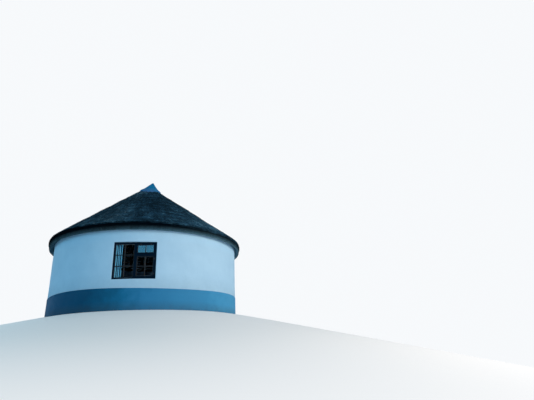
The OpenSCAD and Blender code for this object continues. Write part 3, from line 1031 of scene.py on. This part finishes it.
# %% [markdown]
# The joinery is wood under near-black blue paint, worn to a low sheen, which shows its grain faintly and has soft
# edges. The thin glazing bars are painted a paler grey. Inside, the poles are peeled, and their brown is painted
# darker, as the room's shade. The glass lets light through, but its base tint darkens the room behind it, as painted
# shade. Its reflections take a tint, which is painted reflection: dull in the lower panes, for the dark trees and the
# room they face, and strong and blue in the upper ones, for the open sky.

# %% Joinery, wood and metal
joinery_paint = patterned(
    "joinery_gloss", (2, 12, 25), 0.4, (0.32, 0.5), grain, (0, 7, 17), (4, 18, 35),
    {"Stretch": (1, 1, 0.05), "Scale": 70.0}, [(18.0, 0.12, 0.002), (150.0, 0.1, 0.0006)], Specular_IOR_Level=0.08,
    Specular_Tint=(0.1, 0.5, 1.0, 1))
# The glazing bars are painted a paler grey than the frame.
pale_bar_paint = patterned(
    "pale_bar_finish", (30, 38, 45), 0.6, (0.45, 0.7), grain, (16, 24, 32), (46, 54, 60),
    {"Stretch": (1, 1, 0.05), "Scale": 90.0}, [(150.0, 0.2, 0.0008)], Specular_IOR_Level=0.1)
# The poles' brown is painted darker, as the room's shade.
peeled_pole = patterned(
    "peeled_pole", (66, 50, 38), 0.8, (0.6, 0.9), grain, (44, 32, 24), (92, 72, 54),
    {"Stretch": (1, 1, 0.35), "Scale": 26.0}, [(35.0, 0.4, 0.004), (180.0, 0.3, 0.001)], Specular_IOR_Level=0.2)
dark_iron = patterned(
    "forged_iron", (38, 38, 40), 0.5, (0.4, 0.65), mottle, (26, 26, 28), (56, 52, 50),
    {"Scale": 60.0, "Contrast": 0.5}, [(140.0, 0.3, 0.0008)], Metallic=0.9)
rail_metal = patterned(
    "brushed_rail", (168, 166, 160), 0.35, (0.28, 0.42), mottle, (148, 146, 140), (182, 180, 174),
    {"Scale": 45.0, "Contrast": 0.5}, [], Metallic=1.0)


def make_glass(name, tint, ior):
    """Glass that lets light through to the room, with a base tint that darkens the room behind it, as painted shade,
    and a tint on its reflections, as painted reflection.
    """
    material, tree, shader = make_material(
        name, (0.74, 0.84, 0.90, 1), 0.02, Transmission_Weight=1.0, IOR=ior, Specular_Tint=tint)
    shadow_ray = add_node(tree, "LightPath").outputs["Is Shadow Ray"]
    mix_shaders(tree.nodes["Material Output"], shadow_ray, shader, add_node(tree, "BsdfTransparent"))
    add_bump(tree, shader, [(5.0, 0.05, 0.004)])
    return material


# The lower panes' reflections are painted dull and dark, and the top lights' strong and blue: painted reflection.
glass = make_glass("window_pane", (0.02, 0.038, 0.055, 1), 1.45)
sky_reflection_glass = make_glass("blue_reflection_pane", (0.14, 0.60, 1.0, 1), 2.3)
print("Materials:", len(bpy.data.materials))

# %% [markdown]
# The frames and sashes have the right shape already, so each piece starts as a copy of its solid. Loose triangles are
# merged into plain faces, and every edge is eased by a small bevel, as a joiner's sandpaper does. Glazing bars divide
# the fixed side into two by three panes, the casement into two by two and the top light into two. They and the putty
# round each bay are a piece of their own, because their paler finish differs from the frame's.

# %% Tools for joinery


def solid_copy(node, name):
    """Merged copy of a solid's mesh, with its flat faces made whole."""
    piece = add_object(name, bpy.data.objects[node].data.copy())
    edit(piece)
    bpy.ops.mesh.remove_doubles(threshold=0.0001)
    bpy.ops.mesh.dissolve_limited(angle_limit=math.radians(1))
    leave_edit()
    return piece


def add_block(low, high, narrowed=None):
    """Block between two corners; its outer (-Y) face may be narrowed."""
    select_only()
    middle = [(a + b) / 2 for a, b in zip(low, high)]
    bpy.ops.mesh.primitive_cube_add(size=1, location=middle)
    block = bpy.context.object
    block.scale = [b - a for a, b in zip(low, high)]
    bpy.ops.object.transform_apply(location=False, rotation=False, scale=True)
    if narrowed:
        change(block, "FACE", lambda f: f.normal.y < -0.9, bpy.ops.transform.resize, value=narrowed,
               center_override=middle)
    apply_all()
    return block


def add_rod(place, length, turned, radius, sides=16):
    select_only()
    bpy.ops.mesh.primitive_cylinder_add(vertices=sides, radius=radius, depth=length, location=place, rotation=turned)
    apply_all()
    return bpy.context.object


def join(name, pieces):
    """The pieces as one object, with a name."""
    select_only(*pieces)
    bpy.ops.object.join()
    pieces[0].name = name
    return pieces[0]


def ease_edges(piece, width, segments=2):
    """Applies a small bevel to every sharp edge, and smooth shading across it."""
    select_only(piece)
    bevel = piece.modifiers.new("eased", "BEVEL")
    bevel.width = width
    bevel.segments = segments
    bevel.limit_method = "ANGLE"
    bevel.angle_limit = math.radians(35)
    bpy.ops.object.modifier_apply(modifier=bevel.name)
    smooth_by_angle(piece, 40)


# %% Bays of the window
glass_out, glass_in = (corner.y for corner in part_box("front_glass"))
frame_face = 0.058
sash_face = 0.038
bar_width, bar_end, bar_taper = 0.034, 0.004, 0.6
bar_out, bar_in = glass_out - 0.016, glass_in + 0.012
casement_low, casement_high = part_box("front_casement")
light_low, light_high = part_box("front_top_light")


def clear_part(low, high):
    """Clear opening of a sash: left, right, bottom and top."""
    return low.x + sash_face, high.x - sash_face, low.z + sash_face, high.z - sash_face


bays = {
    "frame": (-win_w / 2 + frame_face, -frame_face / 2, sill_z + frame_face, head_z - frame_face),
    "casement": clear_part(casement_low, casement_high),
    "top_light": clear_part(light_low, light_high),
}
divisions = {"frame": (2, 3), "casement": (2, 2), "top_light": (2, 1)}


def glazing_bars(bay, columns, rows):
    """Bars that divide a bay into equal panes, narrower towards the outside."""
    left, right, bottom, top = bay
    half = bar_width / 2
    posts = [left + (right - left) * i / columns for i in range(1, columns)]
    rails = [bottom + (top - bottom) * i / rows for i in range(1, rows)]
    bars = [add_block((x - half, bar_out, bottom - bar_end), (x + half, bar_in, top + bar_end), (bar_taper, 1, 1))
            for x in posts]
    bars += [add_block((left - bar_end, bar_out, z - half), (right + bar_end, bar_in, z + half), (1, 1, bar_taper))
             for z in rails]
    return bars


def putty(bay, lap=-0.002, fillet=0.016, depth=0.014):
    """Sloped fillets of putty round the outside of a bay's clear opening."""
    left, right, bottom, top = bay
    points = []
    for inset, y in ((lap, glass_out - depth), (fillet, glass_out), (lap, glass_out)):
        sides, levels = (left + inset, right - inset), (bottom + inset, top - inset)
        points += [(sides[i], y, levels[j]) for i, j in ((0, 0), (1, 0), (1, 1), (0, 1))]
    faces = []
    for i in range(4):
        j = (i + 1) % 4
        faces += [(i, 4 + i, 4 + j, j), (4 + i, 8 + i, 8 + j, 4 + j), (8 + i, i, j, 8 + j)]
    mesh = bpy.data.meshes.new("putty")
    mesh.from_pydata(points, [], faces)
    return add_object("putty", mesh)


# %% Front window's frame, sashes and glazing bars
sash_ease = 0.0025
window_pieces = {}
bars = []
for part, bay in bays.items():
    window_pieces[part] = solid_copy("front_" + part, "front_window_" + part)
    bars += glazing_bars(bay, *divisions[part]) + [putty(bay)]
    ease_edges(window_pieces[part], sash_ease)
window_pieces["bars"] = join("front_window_bars", bars)
edit(window_pieces["bars"])
leave_edit(outward=True)
ease_edges(window_pieces["bars"], sash_ease)
print("Panes:", sum(c * r for c, r in divisions.values()))

# %% [markdown]
# Each pane is its own sheet of old glass, set by hand, so no two lie in quite the same plane. The small turns make
# their reflections differ, as they do in the real window.

# %% Panes
pane_lap, pane_gap = 0.001, 0.0004
pane_turn = 0.35
chance = np.random.default_rng(400)
for part, (left, right, bottom, top) in bays.items():
    sheets = []
    columns, rows = divisions[part]
    for i in range(columns):
        for j in range(rows):
            x0, x1 = (left + (right - left) * (i + k) / columns for k in (0, 1))
            z0, z1 = (bottom + (top - bottom) * (j + k) / rows for k in (0, 1))
            sheet = add_block((x0 - pane_lap, glass_out + pane_gap, z0 - pane_lap),
                              (x1 + pane_lap, glass_in - pane_gap, z1 + pane_lap))
            centre = ((x0 + x1) / 2, (glass_out + glass_in) / 2, (z0 + z1) / 2)
            for axis in "XZ":
                bpy.ops.transform.rotate(value=math.radians(chance.uniform(-pane_turn, pane_turn)), orient_axis=axis,
                                         center_override=centre)
            apply_all()
            sheets.append(sheet)
    window_pieces[part + "_panes"] = join("front_window_" + part + "_panes", sheets)
window_pieces["glass"] = join("front_window_panes", [window_pieces.pop(p + "_panes") for p in ("frame", "casement")])

# %% Hinges and catch
inner_y = casement_high.y
knuckle_r = 0.0065
upright, sideways, inwards = (0, 0, 0), (0, math.pi / 2, 0), (math.pi / 2, 0, 0)


def at(place, *offset):
    """The place moved by an offset."""
    return tuple(a + b for a, b in zip(place, offset))


fittings = []
for z in (casement_low.z + 0.12, casement_high.z - 0.12):
    hinge = (casement_high.x, casement_low.y, z)
    fittings += [add_rod(at(hinge, 0, -0.004, 0), 0.064, upright, knuckle_r),
                 add_block(at(hinge, -0.026, -0.002, -0.03), at(hinge, 0, 0.001, 0.03))]
for x in (light_low.x + 0.14, light_high.x - 0.14):
    hinge = (x, casement_low.y, light_high.z)
    fittings += [add_rod(at(hinge, 0, -0.004, 0), 0.058, sideways, knuckle_r),
                 add_block(at(hinge, -0.027, -0.002, -0.026), at(hinge, 0.027, 0.001, 0))]
catch = (casement_low.x, inner_y, (casement_low.z + casement_high.z) / 2)
fittings += [add_block(at(catch, 0.006, -0.001, -0.035), at(catch, 0.030, 0.003, 0.035)),
             add_rod(at(catch, 0.018, 0.012, 0), 0.022, inwards, 0.007),
             add_block(at(catch, 0.010, 0.018, -0.010), at(catch, 0.026, 0.027, 0.095)),
             add_block((light_low.x + 0.12, inner_y - 0.001, light_low.z + 0.006),
                       (light_high.x - 0.12, inner_y + 0.008, light_low.z + 0.022))]
window_pieces["fittings"] = join("front_window_fittings", fittings)
ease_edges(window_pieces["fittings"], 0.0015)
print("Fittings:", len(fittings))

# %% Copies for the rear windows
painted = (joinery_paint, "joinery_paint")
finishes = {"frame": painted, "casement": painted, "top_light": painted, "bars": (pale_bar_paint, "joinery_paint"),
            "glass": (glass, "window_glass"), "top_light_panes": (sky_reflection_glass, "window_glass"),
            "fittings": (dark_iron, "dark_iron")}
for side, turn in window_turns.items():
    for part, (material, slot) in finishes.items():
        piece = window_pieces[part]
        if side != "front":
            name = "panes" if part == "glass" else part
            piece = piece.copy()
            piece.data = piece.data.copy()
            piece.name = side + "_window_" + name
            scene.collection.objects.link(piece)
            select_only(piece)
            piece.rotation_euler = (0, 0, turn)
            apply_all()
        solid = side + "_" + part
        finish_piece(piece, material, slot, *([solid] if solid in solids else []))

# %% [markdown]
# A net curtain is drawn to the left side of the front window. It is a flat sheet pushed into folds: a grid whose
# points follow one wave, tighter and neater at the heading, and loose and uneven at the hem.

# %% Curtain
curtain_low, curtain_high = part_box("curtain")
width, cloth_height = curtain_high.x - curtain_low.x, curtain_high.z - curtain_low.z
folds = 4
inset = 0.012
cloth_columns, cloth_rows = 144, 40
select_only()
bpy.ops.mesh.primitive_grid_add(x_subdivisions=cloth_columns, y_subdivisions=cloth_rows, size=1)
curtain = bpy.context.object
curtain.name = "net_curtain_sheet"
places = vertex_places(curtain)
along, upward = places[:, 0] + 0.5, places[:, 1] + 0.5
depth = 0.0155 * (0.8 + 0.2 * (1 - upward)) * (0.88 + 0.12 * np.sin(2 * np.pi * 2.3 * along + 1))
phase = 2 * np.pi * folds * along + 0.7 * np.sin(2 * np.pi * 1.7 * along + 0.6)
phase += 0.15 * (1 - upward) * np.sin(9 * along + 2)
pleat = np.sin(phase) + 0.16 * np.sin(2 * phase + 0.6)
places[:, 0] = curtain_low.x + inset + (width - 2 * inset) * (along + 0.006 * np.cos(phase) * (1 - upward))
places[:, 1] = (curtain_low.y + curtain_high.y) / 2 + depth * pleat
places[:, 2] = curtain_low.z + 0.004 + (cloth_height - 0.002) * upward
set_places(curtain, places)
store(curtain, "fold", 0.5 - 0.5 * pleat)

# %% Net and its thickness
weave, tree, shader = make_material("net_cloth", colour(128, 160, 182), 0.9, Specular_IOR_Level=0.1, Sheen_Weight=0.2)
fold_share = layer(tree, "fold")
# The folds' hollows are painted dark blue and their crests pale: painted shade and light in the folds.
tint = mix(tree, fold_share, colour(10, 54, 82), colour(118, 206, 246))
threads = add_node(tree, "TexChecker", Vector=add_node(tree, "TexCoord").outputs["UV"], Scale=900.0)
holes = add_node(tree, "MapRange", Value=fold_share, To_Min=0.55, To_Max=0.95)
woven = mix(tree, 0.12, tint, threads.outputs["Color"], "MULTIPLY")
put(shader, Base_Color=woven, Alpha=holes.outputs["Result"])
add_bump(tree, shader, [(90.0, 0.15, 0.001)])
select_only(curtain)
thick = curtain.modifiers.new("cloth", "SOLIDIFY")
thick.thickness = 0.0012
thick.offset = 0
bpy.ops.object.modifier_apply(modifier=thick.name)
bpy.ops.object.shade_smooth()
finish_piece(curtain, weave, "net_curtain", "curtain")

# %% Curtain rings
rail_low, rail_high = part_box("curtain_rail")
rail_y, rail_z = (rail_low.y + rail_high.y) / 2, (rail_low.z + rail_high.z) / 2
rings = []
for i in range(folds + 1):
    select_only()
    x = curtain_low.x + inset + (width - 2 * inset) * min(max(i / folds, 0.01), 0.99)
    bpy.ops.mesh.primitive_torus_add(location=(x, rail_y, rail_z - 0.004), rotation=sideways, major_radius=0.0125,
                                     minor_radius=0.0016, major_segments=24, minor_segments=8)
    rings.append(bpy.context.object)
    apply_all()
rings = join("curtain_rings", rings)
bpy.ops.object.shade_smooth()
finish_piece(rings, rail_metal, "rail_metal")

# %% [markdown]
# The door is ledged and braced: upright boards with V joints outside, and three ledges with two braces behind them. One
# board is made and repeated. A weatherboard along its foot throws rain clear of the threshold, and an oval iron plate
# guards the keyhole: a cylinder drawn out in height, with its face inset and pushed in.

# %% Door
door_low, door_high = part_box("door_leaf")
boards_wide = 6
board_w = (door_high.x - door_low.x) / boards_wide
ledge_y = door_low.y + 0.020
ledge_rows = [(0.36, 0.51), (1.12, 1.27), (1.90, 2.05)]
brace_from, brace_to = 0.05, 0.17
boards = []
for i in range(boards_wide):
    x = door_low.x + board_w * i
    boards.append(add_block((x, ledge_y, door_low.z + 0.002), (x + board_w, door_high.y, door_high.z)))
    change(boards[-1], "EDGE", lambda e: all(v.co.y > door_high.y - 0.001 for v in e.verts)
           and abs(e.verts[0].co.x - e.verts[1].co.x) < 0.001, bpy.ops.mesh.bevel, offset=0.005, segments=1,
           affect="EDGES")
for low, high in ledge_rows:
    boards.append(add_block((door_low.x + 0.03, door_low.y + 0.0005, low), (door_high.x - 0.03, ledge_y + 0.001, high)))
for (_, start), (end, _) in zip(ledge_rows, ledge_rows[1:]):
    boards.append(add_block((door_low.x + brace_from, door_low.y + 0.0010, start - 0.001),
                            (door_low.x + brace_to, ledge_y + 0.001, end + 0.001)))
    change(boards[-1], "FACE", lambda f: f.normal.z > 0.9, bpy.ops.transform.translate,
           value=(door_high.x - door_low.x - brace_from - brace_to, 0, 0))
door = join("boarded_door", boards)
ease_edges(door, 0.002, 1)
finish_piece(door, *painted, "door_leaf")

# %% Door's weatherboard, keyhole plate and frame
weatherboard = add_block((door_low.x + 0.012, door_high.y - 0.001, door_low.z + 0.012),
                         (door_high.x - 0.012, door_high.y + 0.030, door_low.z + 0.078))
change(weatherboard, "EDGE", lambda e: all(v.co.y > door_high.y + 0.02 and v.co.z > door_low.z + 0.07 for v in e.verts),
       bpy.ops.transform.translate, value=(0, 0, -0.030))
weatherboard.name = "door_weatherboard"
ease_edges(weatherboard, 0.003)
finish_piece(weatherboard, *painted)

knob_low, knob_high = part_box("door_handle")
key_drop, plate_t, plate_r, plate_stretch = 0.075, 0.004, 0.019, 1.6
key_place = ((knob_low.x + knob_high.x) / 2, door_high.y + 0.0015, knob_low.z - key_drop)
keyhole = add_rod(key_place, plate_t, inwards, plate_r, 32)
keyhole.name = "door_keyhole_plate"
edit(keyhole)
bpy.ops.transform.resize(value=(1, 1, plate_stretch), center_override=key_place)
pick(keyhole, "FACE", lambda f: f.normal.y > 0.9)
bpy.ops.mesh.inset(thickness=0.0145)
bpy.ops.transform.translate(value=(0, -0.003, 0))
leave_edit()
ease_edges(keyhole, 0.0008)
finish_piece(keyhole, dark_iron, "dark_iron")

lining = solid_copy("door_frame", "door_frame_eased")
ease_edges(lining, 0.004)
finish_piece(lining, *painted, "door_frame")

# %% [markdown]
# The rest of the solids keep their shapes. The poles, the floor, the boards, the knob and the rail take their materials
# in their own slots.

# %% Finishes of the kept solids
kept = {
    peeled_pole: ["wall_plate", "main_rafters", "jack_rafters", "apex_hub", "laths"],
    concrete: ["floor_slab", "door_threshold"],
    joinery_paint: ["window_boards"],
    dark_iron: ["door_handle"],
    rail_metal: ["curtain_rail"],
}
for material, names in kept.items():
    for name in names:
        for slot in bpy.data.objects[name].material_slots:
            slot.material = material
print("Kept solids:", sum(len(names) for names in kept.values()))

# %% [markdown]
# Last, the size of the visual model is measured and printed.

# %% Size of the visual model
low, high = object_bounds()
print("Visual model:", [round(v, 4) for v in low], [round(v, 4) for v in high])
